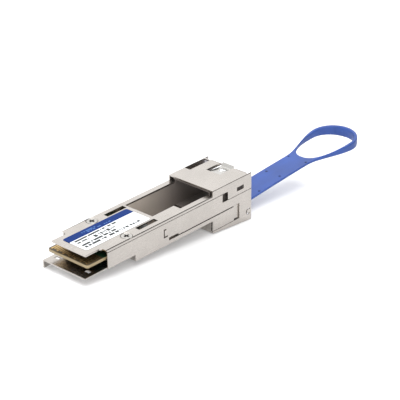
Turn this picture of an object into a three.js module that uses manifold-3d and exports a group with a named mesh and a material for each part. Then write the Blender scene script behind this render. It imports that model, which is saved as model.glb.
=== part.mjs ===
// Port adapter module: a QSFP-size plug body that takes a smaller SFP-size module at its rear.
// Millimetres. X runs from the card-edge nose to the pull tab, Y to the left side, Z up.
// The sizes below are written in the nose frame: x = 0 at the nose plate's front edge,
// y = 0 on the symmetry plane, z = 0 on the cover's top face. The group at the end moves
// that frame so that the origin is the centre of the underside of the whole module.

import * as THREE from 'three';
import { mergeVertices } from 'three/addons/utils/BufferGeometryUtils.js';
import Module from 'manifold-3d';

const wasm = await Module();
wasm.setup();

// ---------------------------------------------------------------- driving dimensions

const halfWidth = 18.35 / 2;
const bodyHeight = 8.5;
const bodyLength = 72.4;
const sheet = 0.4;
const coverSheet = 0.5;
const seam = 0.12;
const slipGap = 0.075;
const restGap = 0.02;
// How far a cutter runs past the face it opens, and how far joined sheets run into each other.
const overcut = 0.5;
const weld = 1;

const wallFrontX = 8.8;
const headFrontX = 54.2;
const hoodRise = 1.78;
const headDropFront = 12.75;
const headDropRear = 14.6;
const stepX = 20.6;
const nosePlateZ = -5.9;
const nosePlateSheet = 0.35;

const tongueFrontX = 2.25;
const tongueHalfWidth = 7.02;
const coverFrontX = 8.4;
const windowFrontX = 32.7;
const railInnerY = 7.0;
const skirtDepth = 0.88;
const hoodSkirtDepth = 3.65;
const hoodTopRearX = 70.9;
const screwX = 18.66;
const screwY = 7.17;

const bayHalfWidth = 7.0;
const bayTopZ = 0.85;
const bayFloorZ = -8.15;
const linerSheet = 0.3;
const linerFrontX = 33.0;
const linerHeadX = 54.8;
const linerRearX = 72.2;

const cardTopZ = -2.6;
const cardThickness = 1.0;
const cardFrontX = 1.7;
const cardRearX = 31.5;
const cardHalfWidth = 8.2;

const armWindowFrontX = 34.5;
const armWindowRearX = 66.7;
const armWindowTopZ = -6.8;
const armNotch = { rearX: 38.6, topZ: -6.25 };
const armWindowBottomZ = -12.0;
const armOuterY = halfWidth - sheet - slipGap;
const armInnerY = armOuterY - sheet;
const armGap = 0.06;
const armFlushY = halfWidth - armGap;
const floorHalfWidth = armInnerY - 0.1;
const pinX = 69.6;
const pinZ = -11.9;
const pinRadius = 0.6;
const pinClearance = 0.05;

const tabHalfWidth = 4.6;
const tabThickness = 0.75;
const tabBarrelRadius = pinRadius + 0.6;
const tabRise = 0.0943;
const tabSag = 0.0005;
const tabRootZ = -11.67;
const tabFlareX = 106.2;
const loopHoleX = 109.5;
const loopWideX = 126.3;
const loopTipX = 134.6;
const loopHalfWidth = 8.62;
const loopBand = 1.2;
const loopTipHeight = 3.55;
const loopHoleFullness = 0.82;

const sides = [
  { name: 'left', sign: 1 },
  { name: 'right', sign: -1 },
];

// ---------------------------------------------------------------- solids

// Every coordinate is rounded to the same fine grid, so that faces meant to lie in one plane do.
const stepsPerMillimetre = 1e4;
const mergeDistance = 5 / stepsPerMillimetre;

function toSolid(geometry) {
  const plain = geometry.clone();
  plain.deleteAttribute('normal');
  plain.deleteAttribute('uv');
  const merged = mergeVertices(plain, 1 / stepsPerMillimetre);
  const snap = (value) => Math.round(value * stepsPerMillimetre) / stepsPerMillimetre;
  return new wasm.Manifold(new wasm.Mesh({
    numProp: 3,
    vertProperties: Float32Array.from(merged.attributes.position.array, snap),
    triVerts: new Uint32Array(merged.index.array),
  }));
}

function toGeometry(solid) {
  const mesh = solid.simplify(mergeDistance).getMesh();
  const geometry = new THREE.BufferGeometry();
  geometry.setAttribute('position', new THREE.BufferAttribute(mesh.vertProperties, 3));
  geometry.setIndex(new THREE.BufferAttribute(mesh.triVerts, 1));
  return geometry;
}

function join(...solids) {
  return solids.reduce((whole, solid) => whole.add(solid));
}

function cut(solid, ...tools) {
  return tools.reduce((rest, tool) => rest.subtract(tool), solid);
}

function box(x, y, z) {
  const geometry = new THREE.BoxGeometry(x[1] - x[0], y[1] - y[0], z[1] - z[0]);
  geometry.translate((x[0] + x[1]) / 2, (y[0] + y[1]) / 2, (z[0] + z[1]) / 2);
  return toSolid(geometry);
}

// The same box on the left and on the right, with |y| running from inner to outer.
function boxPair(x, inner, outer, z) {
  return sides.map(({ sign }) => box(x, sign > 0 ? [inner, outer] : [-outer, -inner], z));
}

function rodZ(x, y, radius, z, segments = 24) {
  const geometry = new THREE.CylinderGeometry(radius, radius, z[1] - z[0], segments);
  geometry.rotateX(Math.PI / 2);
  geometry.translate(x, y, (z[0] + z[1]) / 2);
  return toSolid(geometry);
}

function rodY(x, z, radius, y, segments = 24) {
  const geometry = new THREE.CylinderGeometry(radius, radius, y[1] - y[0], segments);
  geometry.translate(x, (y[0] + y[1]) / 2, z);
  return toSolid(geometry);
}

// A plate whose outline is drawn in X and Y and which fills z.
function plateXY(shape, z, curveSegments = 12) {
  const depth = z[1] - z[0];
  const geometry = new THREE.ExtrudeGeometry(shape, { depth, bevelEnabled: false, curveSegments });
  geometry.translate(0, 0, z[0]);
  return toSolid(geometry);
}

// A plate whose outline is drawn in X and Z and which fills y.
function plateXZ(shape, y, curveSegments = 12) {
  const depth = y[1] - y[0];
  const geometry = new THREE.ExtrudeGeometry(shape, { depth, bevelEnabled: false, curveSegments });
  geometry.rotateX(Math.PI / 2);
  geometry.translate(0, y[1], 0);
  return toSolid(geometry);
}

function polygon(points) {
  return new THREE.Shape(points.map(([a, b]) => new THREE.Vector2(a, b)));
}

// ---------------------------------------------------------------- materials and nodes

const look = {
  nickelSheet: { color: 0xcfc6bd, roughness: 0.34, metalness: 1.0 },
  springSteel: { color: 0xb9b5ae, roughness: 0.3, metalness: 1.0 },
  screwSteel: { color: 0xa8a49d, roughness: 0.28, metalness: 1.0 },
  gold: { color: 0xd9b45a, roughness: 0.25, metalness: 1.0 },
  board: { color: 0x2f5d33, roughness: 0.5, metalness: 0.0 },
  blackPlastic: { color: 0x17181a, roughness: 0.5, metalness: 0.0 },
  ceramic: { color: 0xa58a6a, roughness: 0.6, metalness: 0.0 },
  labelStock: { color: 0xf2f3f4, roughness: 0.45, metalness: 0.0 },
  bluePlastic: { color: 0x4a62b8, roughness: 0.42, metalness: 0.0 },
};

const materials = {};
for (const [name, values] of Object.entries(look)) {
  materials[name] = new THREE.MeshStandardMaterial(values);
}

const nodes = [];

function addNode(name, solid, material) {
  const mesh = new THREE.Mesh(toGeometry(solid), material);
  mesh.name = name;
  nodes.push(mesh);
}

// ---------------------------------------------------------------- upper cover

// Stamped sheet: front tongue and label plate, two rails beside the window, side skirts,
// and the raised hood over the bay with its own deeper skirts.
const slit = { x: [23.8, 31.75], inner: 5.65, outer: 7.35 };
const ear = { rearX: 41.9, innerY: 4.25 };
const relief = { x: [58.7, 61.2], bottomZ: -3.7 };
const sideSlot = { x: [65.5, 68.7], z: [-2.35, -1.05] };
const hoodSlot = { x: [61.2, 70.3], y: [6.6, halfWidth - sheet] };
const tongueBay = { frontX: 64.6, halfWidth: 2.8 };
const linerRoom = {
  x: [headFrontX + 0.2, headFrontX + 3],
  innerY: railInnerY - weld,
  outerY: bayHalfWidth + linerSheet + 0.25,
};
const countersink = { topRadius: 1.95, bottomRadius: 1.55 };

function coverPlateShape() {
  const fillet = 0.9;
  const shape = new THREE.Shape();
  shape.moveTo(tongueFrontX, -tongueHalfWidth);
  shape.lineTo(coverFrontX - fillet, -tongueHalfWidth);
  shape.absarc(coverFrontX - fillet, -tongueHalfWidth - fillet, fillet, Math.PI / 2, 0, true);
  shape.lineTo(coverFrontX, -halfWidth);
  shape.lineTo(windowFrontX, -halfWidth);
  shape.lineTo(windowFrontX, halfWidth);
  shape.lineTo(coverFrontX, halfWidth);
  shape.lineTo(coverFrontX, tongueHalfWidth + fillet);
  shape.absarc(coverFrontX - fillet, tongueHalfWidth + fillet, fillet, 0, -Math.PI / 2, true);
  shape.lineTo(tongueFrontX, tongueHalfWidth);
  shape.closePath();
  return shape;
}

function countersinkCutter(y) {
  const height = coverSheet + 2 * seam;
  const slope = (countersink.topRadius - countersink.bottomRadius) / coverSheet;
  const extra = slope * seam;
  const geometry = new THREE.CylinderGeometry(
    countersink.topRadius + extra, countersink.bottomRadius - extra, height, 32);
  geometry.rotateX(Math.PI / 2);
  geometry.translate(screwX, y, -coverSheet / 2);
  return toSolid(geometry);
}

function upperCover() {
  const plate = plateXY(coverPlateShape(), [-coverSheet, 0], 5);
  const rails = boxPair([windowFrontX - weld, headFrontX + 2 * weld], railInnerY, halfWidth,
    [-coverSheet, 0]);
  const earPlate = box([windowFrontX - weld, ear.rearX], [-railInnerY - weld, -ear.innerY],
    [-coverSheet, 0]);
  const rearEdge = box([windowFrontX - coverSheet, windowFrontX], [-ear.innerY, railInnerY],
    [-2 * coverSheet, 0]);
  const skirts = boxPair([wallFrontX, relief.x[0]], halfWidth - sheet, halfWidth, [-skirtDepth, 0]);
  const hoodTop = box([headFrontX, hoodTopRearX], [-halfWidth, halfWidth], [hoodRise - sheet, hoodRise]);
  const hoodSides = boxPair([headFrontX, bodyLength], halfWidth - sheet, halfWidth,
    [-skirtDepth, hoodRise]);
  const hoodSkirts = boxPair([relief.x[1], bodyLength], halfWidth - sheet, halfWidth,
    [-hoodSkirtDepth, 0]);
  const body = join(plate, ...rails, earPlate, rearEdge, ...skirts, hoodTop, ...hoodSides, ...hoodSkirts);

  const linerPockets = boxPair(linerRoom.x, linerRoom.innerY, linerRoom.outerY,
    [-coverSheet - overcut, overcut]);
  const slits = boxPair(slit.x, slit.inner, slit.outer, [-coverSheet - overcut, overcut]);
  const slots = boxPair(sideSlot.x, halfWidth - sheet - overcut, halfWidth + overcut, sideSlot.z);
  const topSlot = box(hoodSlot.x, hoodSlot.y, [hoodRise - sheet - overcut, hoodRise + overcut]);
  const tongueNotch = box([tongueBay.frontX, bodyLength], [-tongueBay.halfWidth, tongueBay.halfWidth],
    [hoodRise - sheet - overcut, hoodRise + overcut]);
  const holes = sides.map(({ sign }) => countersinkCutter(sign * screwY));
  return cut(body, ...linerPockets, ...slits, ...slots, topSlot, tongueNotch, ...holes);
}

addNode('upper_cover', upperCover(), materials.nickelSheet);

// ---------------------------------------------------------------- lower shell

// Stamped sheet: side walls, a step down from the nose to the floor, and the deeper box under
// the head. Each wall has the window of the release arm.
const floorFullRearX = 34.2;
const frontPlateX = headFrontX + 0.1;
const frontPlateHalfWidth = armFlushY - sheet - armGap;
const springStop = { x: [48.2, 48.7], innerY: 7.5, z: [-5.7, -3.3] };
const catchMark = { x: 32.45, z: [-5.6, -2.8], width: 0.4, foot: 1.5, head: 0.9 };
const hookMark = { x: 71.0, z: -11.3, outer: 1.1, inner: 0.66, mouth: 0.2 };
const headSideTopZ = -bodyHeight + weld;

function headSideShape() {
  return polygon([
    [frontPlateX, headSideTopZ],
    [frontPlateX, -headDropFront],
    [bodyLength, -headDropRear],
    [bodyLength, headSideTopZ],
  ]);
}

function headBottomShape() {
  return polygon([
    [frontPlateX, -headDropFront],
    [bodyLength, -headDropRear],
    [bodyLength, -headDropRear + sheet],
    [frontPlateX, -headDropFront + sheet],
  ]);
}

function wallPair(shape) {
  return sides.map(({ sign }) => plateXZ(shape,
    sign > 0 ? [halfWidth - sheet, halfWidth] : [-halfWidth, sheet - halfWidth]));
}

// The reach in Y of a cutter that goes through one side wall.
function throughWall(sign) {
  return sign > 0 ? [halfWidth - weld, halfWidth + weld] : [-halfWidth - weld, weld - halfWidth];
}

// A C-shaped slit that frees a small round tab, open towards the rear.
function hookSlit(sign) {
  const across = throughWall(sign);
  const ring = cut(
    rodY(hookMark.x, hookMark.z, hookMark.outer, across),
    rodY(hookMark.x, hookMark.z, hookMark.inner, across),
  );
  const mouth = box([hookMark.x + hookMark.mouth, hookMark.x + 2 * hookMark.outer], across,
    [hookMark.z - hookMark.inner, hookMark.z + hookMark.inner]);
  return cut(ring, mouth);
}

// A C-shaped slit around a small square catch in the middle of the wall.
function catchSlit(sign) {
  const { x, z, width, foot, head } = catchMark;
  const across = throughWall(sign);
  return join(
    box([x - width / 2, x + width / 2], across, z),
    box([x - width / 2, x + foot], across, [z[0], z[0] + width]),
    box([x - width / 2, x + head], across, [z[1] - width, z[1]]),
  );
}

function lowerShell() {
  const wallInner = halfWidth - sheet;
  const floorZ = [-bodyHeight, -bodyHeight + nosePlateSheet];
  const noseWalls = boxPair([wallFrontX, stepX], wallInner, halfWidth,
    [nosePlateZ - nosePlateSheet, -skirtDepth - seam]);
  const stepPlate = box([stepX - nosePlateSheet, stepX], [-halfWidth, halfWidth],
    [-bodyHeight, nosePlateZ]);
  const walls = boxPair([stepX - nosePlateSheet, bodyLength], wallInner, halfWidth,
    [-bodyHeight, -skirtDepth - seam]);
  const wideFloor = box([stepX - nosePlateSheet, floorFullRearX], [-halfWidth, halfWidth], floorZ);
  const narrowFloor = box([stepX, frontPlateX + sheet], [-floorHalfWidth, floorHalfWidth], floorZ);
  const frontPlate = box([frontPlateX, frontPlateX + sheet],
    [-frontPlateHalfWidth, frontPlateHalfWidth], [-headDropFront, floorZ[1]]);
  const bottomPlate = plateXZ(headBottomShape(), [-halfWidth, halfWidth]);
  const body = join(...noseWalls, stepPlate, ...walls, wideFloor, narrowFloor, frontPlate,
    ...wallPair(headSideShape()), bottomPlate);

  const hoodRoom = boxPair([relief.x[1], bodyLength + overcut], wallInner - overcut, halfWidth + overcut,
    [-hoodSkirtDepth - seam, 0]);
  const reliefs = boxPair(relief.x, wallInner - overcut, halfWidth + overcut, [relief.bottomZ, 0]);
  const bodyWindows = boxPair([armWindowFrontX, frontPlateX + overcut], wallInner - overcut,
    halfWidth + overcut, [-bodyHeight - overcut, armWindowTopZ]);
  const notches = boxPair([armWindowFrontX, armNotch.rearX], wallInner - overcut,
    halfWidth + overcut, [armWindowTopZ - weld, armNotch.topZ]);
  const headWindows = boxPair([frontPlateX - overcut, armWindowRearX], wallInner - overcut,
    halfWidth + overcut, [armWindowBottomZ, armWindowTopZ]);
  return cut(body, ...hoodRoom, ...reliefs, ...bodyWindows, ...notches, ...headWindows,
    ...sides.map(({ sign }) => hookSlit(sign)), ...sides.map(({ sign }) => catchSlit(sign)));
}

addNode('lower_shell', lowerShell(), materials.nickelSheet);

// The plate under the nose lies between the walls, with one leg turned down at its left front
// corner and two square holes near its front edge.
const noseLegLength = 4;
const squareHole = { x: 3.6, y: 6.3, halfX: 0.55, halfY: 0.85 };

function nosePlateSolid() {
  const noseHalfWidth = halfWidth - sheet - restGap;
  const plateZ = [nosePlateZ - nosePlateSheet, nosePlateZ];
  const plate = box([0, stepX - nosePlateSheet - restGap], [-noseHalfWidth, noseHalfWidth], plateZ);
  const leg = box([0, noseLegLength], [noseHalfWidth - sheet, noseHalfWidth],
    [-bodyHeight, nosePlateZ]);
  const squareHoles = sides.map(({ sign }) => box(
    [squareHole.x - squareHole.halfX, squareHole.x + squareHole.halfX],
    [sign * squareHole.y - squareHole.halfY, sign * squareHole.y + squareHole.halfY],
    [plateZ[0] - overcut, plateZ[1] + overcut],
  ));
  return cut(join(plate, leg), ...squareHoles);
}

addNode('nose_plate', nosePlateSolid(), materials.nickelSheet);

// A block on the inside of each wall that the return spring pushes against.
const springStops = boxPair(springStop.x, springStop.innerY, halfWidth - sheet - restGap, springStop.z);
sides.forEach(({ name }, index) => {
  addNode(`spring_stop_${name}`, springStops[index], materials.nickelSheet);
});

// ---------------------------------------------------------------- bay liner and its latch tongue

const linerGap = 0.05;
const roofLip = 0.52;
const latchTongue = { halfWidth: 2.45, sheet: 0.3, lean: 0.1 };
// The tongue's middle line from its root to its lip, as heights above the bay's top.
const tongueLine = [
  { x: 64.9, rise: 0.15 },
  { x: 66.4, rise: -0.05 },
  { x: 70.7, rise: -0.25 },
  { x: 71.7, rise: 0.1 },
  { x: 72.05, rise: 0.9 },
];
const latchHole = { apexX: 67.3, baseX: 70.1, halfBase: 1.35 };

function cageLiner() {
  const outerY = bayHalfWidth + linerSheet;
  const lowWalls = boxPair([linerFrontX, linerHeadX + weld], bayHalfWidth, outerY,
    [bayFloorZ + linerGap, -coverSheet - 2 * linerGap]);
  const headWalls = boxPair([linerHeadX, linerRearX], bayHalfWidth, outerY,
    [bayFloorZ - linerSheet, bayTopZ + linerSheet]);
  const roof = box([linerHeadX - roofLip, linerRearX], [-outerY, outerY], [bayTopZ, bayTopZ + linerSheet]);
  const floor = box([linerHeadX, linerRearX], [-outerY, outerY], [bayFloorZ - linerSheet, bayFloorZ]);
  const notch = box([tongueBay.frontX, linerRearX + overcut],
    [-tongueBay.halfWidth, tongueBay.halfWidth], [bayTopZ - overcut, bayTopZ + linerSheet + overcut]);
  return cut(join(...lowWalls, ...headWalls, roof, floor), notch);
}

addNode('cage_liner', cageLiner(), materials.nickelSheet);

// The tongue dips into the bay, holds the inserted module by its triangular hole and ends
// in a lip that is turned up.
function latchTongueSolid() {
  const half = latchTongue.sheet / 2;
  const upper = tongueLine.map(({ x, rise }) => [x, bayTopZ + rise + half]);
  const lower = tongueLine.map(({ x, rise }) => [x + latchTongue.lean, bayTopZ + rise - half]).reverse();
  const strip = plateXZ(polygon([...upper, ...lower]), [-latchTongue.halfWidth, latchTongue.halfWidth]);
  const hole = plateXY(polygon([
    [latchHole.apexX, 0],
    [latchHole.baseX, -latchHole.halfBase],
    [latchHole.baseX, latchHole.halfBase],
  ]), [bayTopZ - weld, bayTopZ + weld]);
  return cut(strip, hole);
}

addNode('latch_tongue', latchTongueSolid(), materials.springSteel);

// ---------------------------------------------------------------- circuit board and contacts

const edgePads = { count: 19, pitch: 0.8, width: 0.54, x: [2.2, 7.6], height: 0.05, bar: 0.4 };
const receptacle = { x: [24.6, 32.4], halfWidth: 5.6, z: [-7.9, cardTopZ - cardThickness - restGap] };
const cardSlot = { frontX: 27.4, halfWidth: 4.85, z: [-6.25, -4.85] };
const springContacts = { count: 10, pitch: 0.8, width: 0.42, x: [27.6, 31.6], sheet: 0.15, bar: 0.4 };

function boardShape() {
  const corner = 0.7;
  const shape = new THREE.Shape();
  shape.moveTo(cardFrontX + corner, -cardHalfWidth);
  shape.lineTo(cardRearX, -cardHalfWidth);
  shape.lineTo(cardRearX, cardHalfWidth);
  shape.lineTo(cardFrontX + corner, cardHalfWidth);
  shape.absarc(cardFrontX + corner, cardHalfWidth - corner, corner, Math.PI / 2, Math.PI, false);
  shape.lineTo(cardFrontX, corner - cardHalfWidth);
  shape.absarc(cardFrontX + corner, corner - cardHalfWidth, corner, Math.PI, 1.5 * Math.PI, false);
  shape.closePath();
  return shape;
}

const boardZ = [cardTopZ - cardThickness, cardTopZ];
const standoffRadius = 1.45;
const boardNotchRadius = standoffRadius + 0.3;
const boardNotches = sides.map(({ sign }) => rodZ(screwX, sign * screwY, boardNotchRadius,
  [boardZ[0] - overcut, boardZ[1] + overcut]));
addNode('circuit_board', cut(plateXY(boardShape(), boardZ, 5), ...boardNotches), materials.board);

// A comb: equal fingers side by side, joined by one bar across their front or rear ends.
function comb({ count, pitch, width, x, z, bar, barAtRear }) {
  const [rootX, tipX] = barAtRear ? [x[1], x[0]] : x;
  const shoulderX = rootX + Math.sign(tipX - rootX) * bar;
  const outline = [[rootX, ((count - 1) * pitch + width) / 2]];
  outline.push([rootX, -outline[0][1]]);
  for (let index = 0; index < count; index += 1) {
    const y = (index - (count - 1) / 2) * pitch;
    outline.push([shoulderX, y - width / 2], [tipX, y - width / 2]);
    outline.push([tipX, y + width / 2], [shoulderX, y + width / 2]);
  }
  return plateXY(polygon(withoutRepeats(outline)), z);
}

// The outline without each point that equals the one after it.
function withoutRepeats(points) {
  return points.filter(([x, y], index) => {
    const [nextX, nextY] = points[(index + 1) % points.length];
    return Math.hypot(x - nextX, y - nextY) > mergeDistance;
  });
}

const topPadZ = cardTopZ + restGap;
const bottomPadZ = cardTopZ - cardThickness - restGap;
addNode('edge_contacts_top',
  comb({ ...edgePads, z: [topPadZ, topPadZ + edgePads.height], barAtRear: true }), materials.gold);
addNode('edge_contacts_bottom',
  comb({ ...edgePads, z: [bottomPadZ - edgePads.height, bottomPadZ], barAtRear: true }), materials.gold);

function receptacleSolid() {
  const housing = box(receptacle.x, [-receptacle.halfWidth, receptacle.halfWidth], receptacle.z);
  const slot = box([cardSlot.frontX, receptacle.x[1] + overcut],
    [-cardSlot.halfWidth, cardSlot.halfWidth], cardSlot.z);
  return cut(housing, slot);
}

addNode('sfp_receptacle', receptacleSolid(), materials.blackPlastic);

const upperContactZ = cardSlot.z[1] - restGap;
const lowerContactZ = cardSlot.z[0] + restGap;
addNode('receptacle_contacts_upper',
  comb({ ...springContacts, z: [upperContactZ - springContacts.sheet, upperContactZ] }), materials.gold);
addNode('receptacle_contacts_lower',
  comb({ ...springContacts, z: [lowerContactZ, lowerContactZ + springContacts.sheet] }), materials.gold);

// Components that stand on the board's upper face, each given by centre and size.
const componentZ = cardTopZ + restGap;

function addComponent(name, [x, y], [length, width, height], material) {
  const solid = box([x - length / 2, x + length / 2], [y - width / 2, y + width / 2],
    [componentZ, componentZ + height]);
  addNode(name, solid, material);
}

addComponent('controller_chip', [13.6, 0], [4.0, 4.0, 0.9], materials.blackPlastic);
addComponent('memory_chip', [21.4, 2.4], [3.0, 2.9, 0.75], materials.blackPlastic);

const capacitors = { count: 6, firstX: 11.4, pitch: 2.0, y: -4.2, size: [1.0, 0.5, 0.5] };
for (let index = 0; index < capacitors.count; index += 1) {
  const x = capacitors.firstX + index * capacitors.pitch;
  addComponent(`capacitor_${index + 1}`, [x, capacitors.y], capacitors.size, materials.ceramic);
}

const resistors = { count: 4, firstX: 26.0, pitch: 1.3, y: 5.2, size: [0.5, 1.0, 0.35] };
for (let index = 0; index < resistors.count; index += 1) {
  const x = resistors.firstX + index * resistors.pitch;
  addComponent(`resistor_${index + 1}`, [x, resistors.y], resistors.size, materials.blackPlastic);
}

// ---------------------------------------------------------------- standoffs, screws and label

const screw = { headRadius: 1.74, headBottomRadius: 1.38, headHeight: 0.45, shaftRadius: 0.8, tipZ: -5.0 };
const crossRecess = { depth: 0.34, reach: 1.0, halfWidth: 0.27 };
const standoff = {
  bore: screw.shaftRadius + 0.06,
  floor: 0.6,
  z: [nosePlateZ + restGap, -coverSheet - restGap],
};

function standoffSolid(y) {
  return cut(
    rodZ(screwX, y, standoffRadius, standoff.z, 28),
    rodZ(screwX, y, standoff.bore, [standoff.z[0] + standoff.floor, standoff.z[1] + overcut]),
  );
}

function screwSolid(y) {
  const topZ = -restGap;
  const profile = [
    [0, screw.tipZ],
    [screw.shaftRadius, screw.tipZ],
    [screw.shaftRadius, topZ - screw.headHeight],
    [screw.headBottomRadius, topZ - screw.headHeight],
    [screw.headRadius, topZ],
    [0, topZ],
  ].map(([radius, height]) => new THREE.Vector2(radius, height));
  const geometry = new THREE.LatheGeometry(profile, 28);
  geometry.rotateX(Math.PI / 2);
  geometry.translate(screwX, y, 0);
  const { depth, reach, halfWidth: half } = crossRecess;
  const recessZ = [topZ - depth, topZ + overcut];
  return cut(
    toSolid(geometry),
    box([screwX - reach, screwX + reach], [y - half, y + half], recessZ),
    box([screwX - half, screwX + half], [y - reach, y + reach], recessZ),
  );
}

for (const { name, sign } of sides) {
  addNode(`standoff_${name}`, standoffSolid(sign * screwY), materials.screwSteel);
  addNode(`screw_${name}`, screwSolid(sign * screwY), materials.screwSteel);
}

const label = { x: [4.6, 31.0], halfWidth: 5.0, height: 0.08 };
addNode('label', box(label.x, [-label.halfWidth, label.halfWidth], [restGap, restGap + label.height]),
  materials.labelStock);

// ---------------------------------------------------------------- release slider and return springs

// A U of sheet: two side arms that show in the shell's windows, joined by a bridge under
// the bay. Each arm lies almost flush in its window, under a thin slit, and steps in behind the
// wall near its rear end. It has a lug that presses its return spring, and carries the tab's pin.
const armSlit = 0.35;
const releaseTravel = 2.5;
const armFrontX = armWindowFrontX + armGap;
const armTallX = frontPlateX;
const armFlushRearX = armWindowRearX - releaseTravel - armGap;
const armRearX = pinX + 1.3;
const armBottomZ = -bodyHeight + armGap;
const armTopZ = armWindowTopZ - armSlit;
const armFlushZ = [armWindowBottomZ + armGap, armTopZ];
const armTallZ = [armWindowBottomZ - armGap, armTopZ];
const pinEar = { x: [pinX - 1.8, armRearX], bottomZ: pinZ - 1.3 };
const bridge = { x: [56.2, 66.6], z: [-9.5, -9.5 + sheet] };
const springLug = { x: [39.4, 39.9], innerY: 7.6, topZ: -3.4 };
const spring = { y: 8.06, z: -4.5, radius: 0.5, wire: 0.1, turns: 7, endGap: 0.06, stepsPerTurn: 12 };
const lugBottomZ = spring.z - 1.2;

function releaseSlider() {
  const arms = boxPair([armFrontX, armTallX + sheet], armFlushY - sheet, armFlushY,
    [armBottomZ, armTopZ]);
  const flushPlates = boxPair([armTallX, armFlushRearX], armFlushY - sheet, armFlushY, armFlushZ);
  const joggles = boxPair([armFlushRearX - sheet, armFlushRearX], armInnerY, armFlushY, armFlushZ);
  const tallPlates = boxPair([armFlushRearX - sheet, armRearX], armInnerY, armOuterY, armTallZ);
  const pinEars = boxPair(pinEar.x, armInnerY, armOuterY, [pinEar.bottomZ, armTallZ[0] + weld]);
  const lugFeet = boxPair(springLug.x, armInnerY, armFlushY, [armBottomZ, armTopZ]);
  const lugRoots = boxPair(springLug.x, armInnerY, armOuterY, [armBottomZ, springLug.topZ]);
  const lugs = boxPair(springLug.x, springLug.innerY, armOuterY, [lugBottomZ, springLug.topZ]);
  const bridgePlate = box(bridge.x, [-armOuterY, armOuterY], bridge.z);
  const bridgeEnds = boxPair([bridge.x[0], armFlushRearX - sheet / 2], armInnerY,
    armFlushY - sheet / 2, bridge.z);
  const body = join(...arms, ...flushPlates, ...joggles, ...tallPlates, ...pinEars, ...lugFeet,
    ...lugRoots, ...lugs, bridgePlate, ...bridgeEnds);
  return cut(body, rodY(pinX, pinZ, pinRadius + pinClearance, [-halfWidth, halfWidth]));
}

addNode('release_slider', releaseSlider(), materials.nickelSheet);
addNode('tab_pin', rodY(pinX, pinZ, pinRadius, [-armOuterY, armOuterY]), materials.springSteel);

class HelixCurve extends THREE.Curve {
  constructor(start, length, radius, turns) {
    super();
    Object.assign(this, { start, length, radius, turns });
  }

  getPoint(t, target = new THREE.Vector3()) {
    const angle = 2 * Math.PI * this.turns * t;
    return target.set(
      this.start.x + this.length * t,
      this.start.y + this.radius * Math.cos(angle),
      this.start.z + this.radius * Math.sin(angle),
    );
  }
}

function returnSpring(sign) {
  const clearance = spring.wire + spring.endGap;
  const startX = springLug.x[1] + clearance;
  const length = springStop.x[0] - clearance - startX;
  const start = new THREE.Vector3(startX, sign * spring.y, spring.z);
  const path = new HelixCurve(start, length, spring.radius, spring.turns);
  const section = new THREE.Shape();
  section.absarc(0, 0, spring.wire, 0, 2 * Math.PI, false);
  const geometry = new THREE.ExtrudeGeometry(section, {
    steps: spring.turns * spring.stepsPerTurn,
    bevelEnabled: false,
    curveSegments: 5,
    extrudePath: path,
  });
  return toSolid(geometry);
}

for (const { name, sign } of sides) {
  addNode(`return_spring_${name}`, returnSpring(sign), materials.springSteel);
}

// ---------------------------------------------------------------- pull tab

// A flat strap that opens into a finger loop. Its middle surface follows a shallow arc, and
// the loop's band grows taller towards its tip.
function tabMiddleZ(x) {
  const reach = x - bodyLength;
  return tabRootZ + tabRise * reach - tabSag * reach * reach;
}

function tabHeight(x) {
  const share = (x - loopHoleX) / (loopTipX - loopHoleX);
  return tabThickness + (loopTipHeight - tabThickness) * Math.min(Math.max(share, 0), 1);
}

function strapHalfWidth(x) {
  const share = Math.min(Math.max((x - tabFlareX) / (loopWideX - tabFlareX), 0), 1);
  return tabHalfWidth + (loopHalfWidth - tabHalfWidth) * share * share * (3 - 2 * share);
}

// One side of the outline from the root to the tip: straight strap, flare, then a quarter ellipse.
function tabOutline(rootX) {
  const points = [];
  const strapSteps = 18;
  for (let step = 0; step <= strapSteps; step += 1) {
    const x = rootX + (loopWideX - rootX) * (step / strapSteps);
    points.push([x, strapHalfWidth(x)]);
  }
  const tipSteps = 9;
  for (let step = 1; step <= tipSteps; step += 1) {
    const angle = (Math.PI / 2) * (step / tipSteps);
    points.push([loopWideX + (loopTipX - loopWideX) * Math.sin(angle), loopHalfWidth * Math.cos(angle)]);
  }
  return points;
}

function holeOutline() {
  const innerHalf = loopHalfWidth - loopBand;
  const points = [];
  const steps = 10;
  for (let step = 0; step <= steps; step += 1) {
    const angle = (Math.PI / 2) * (step / steps);
    const x = loopWideX - (loopWideX - loopHoleX) * Math.cos(angle);
    points.push([x, innerHalf * Math.sin(angle) ** loopHoleFullness]);
  }
  for (let step = 1; step <= steps; step += 1) {
    const angle = (Math.PI / 2) * (step / steps);
    const reach = loopTipX - loopBand - loopWideX;
    points.push([loopWideX + reach * Math.sin(angle), innerHalf * Math.cos(angle)]);
  }
  return points;
}

// The outline of both sides, from the points of the left one.
function mirrored(points) {
  const far = points.slice(0, -1).reverse().filter(([, y]) => y > mergeDistance);
  return [...points, ...far.map(([x, y]) => [x, -y])];
}

function pullTab() {
  const shape = polygon(mirrored(tabOutline(pinX)));
  shape.holes.push(polygon(mirrored(holeOutline()).reverse()));
  const geometry = new THREE.ExtrudeGeometry(shape, { depth: 1, bevelEnabled: false });
  const position = geometry.attributes.position;
  for (let index = 0; index < position.count; index += 1) {
    const x = position.getX(index);
    position.setZ(index, tabMiddleZ(x) + (position.getZ(index) - 0.5) * tabHeight(x));
  }
  const barrel = rodY(pinX, pinZ, tabBarrelRadius, [-tabHalfWidth, tabHalfWidth]);
  const bore = rodY(pinX, pinZ, pinRadius + pinClearance, [-halfWidth, halfWidth]);
  return cut(join(toSolid(geometry), barrel), bore);
}

addNode('pull_tab', pullTab(), materials.bluePlastic);

// ---------------------------------------------------------------- assembly

const module = new THREE.Group();
module.name = 'port_adapter_module';
module.add(...nodes);
module.position.set(-loopTipX / 2, 0, headDropRear);
module.updateMatrixWorld(true);

export default module;
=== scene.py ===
import math

import bmesh
import bpy
from mathutils import Matrix, Vector


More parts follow.
